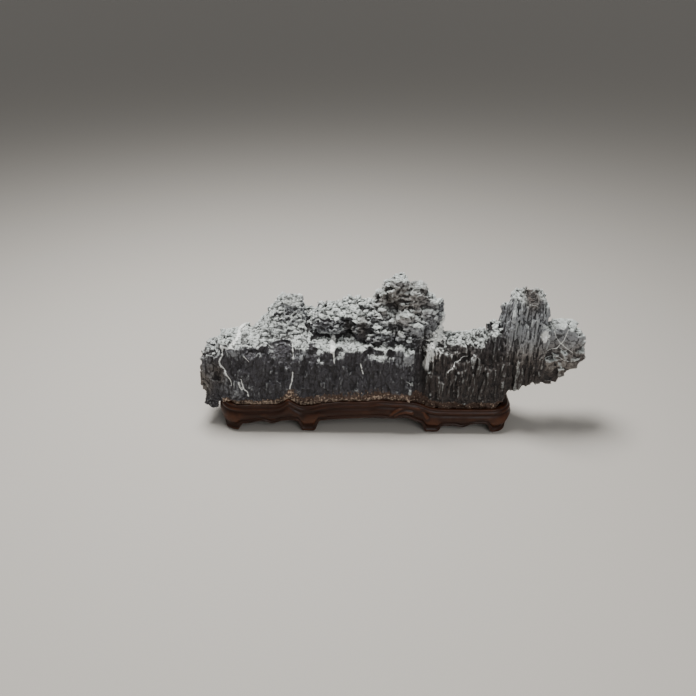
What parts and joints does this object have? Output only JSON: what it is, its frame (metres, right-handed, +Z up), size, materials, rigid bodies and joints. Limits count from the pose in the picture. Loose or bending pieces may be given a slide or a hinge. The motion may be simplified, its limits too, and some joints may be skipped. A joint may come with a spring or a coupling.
{
  "type": "scholars rock on stand",
  "caption": "Long wrinkled grey limestone viewing stone with a stepped peak and an overhanging head, seated in a fitted carved wooden stand.",
  "frame": {"origin": "middle of the model's bounding box in plan, on the surface that the stand's feet rest on", "axes": "+X along the rock towards its overhanging head, +Y towards the back, +Z up"},
  "size_m": [0.5204, 0.0932, 0.2101],
  "materials": {
    "stone": "rough dark grey limestone, paler on its tops, with white calcite veins and a brown crust at its base",
    "stand": "dark reddish-brown hardwood, waxed, half gloss"
  },
  "bodies": {
    "root": {"stone": "stone", "stand": "stand"}
  },
  "joints": []
}
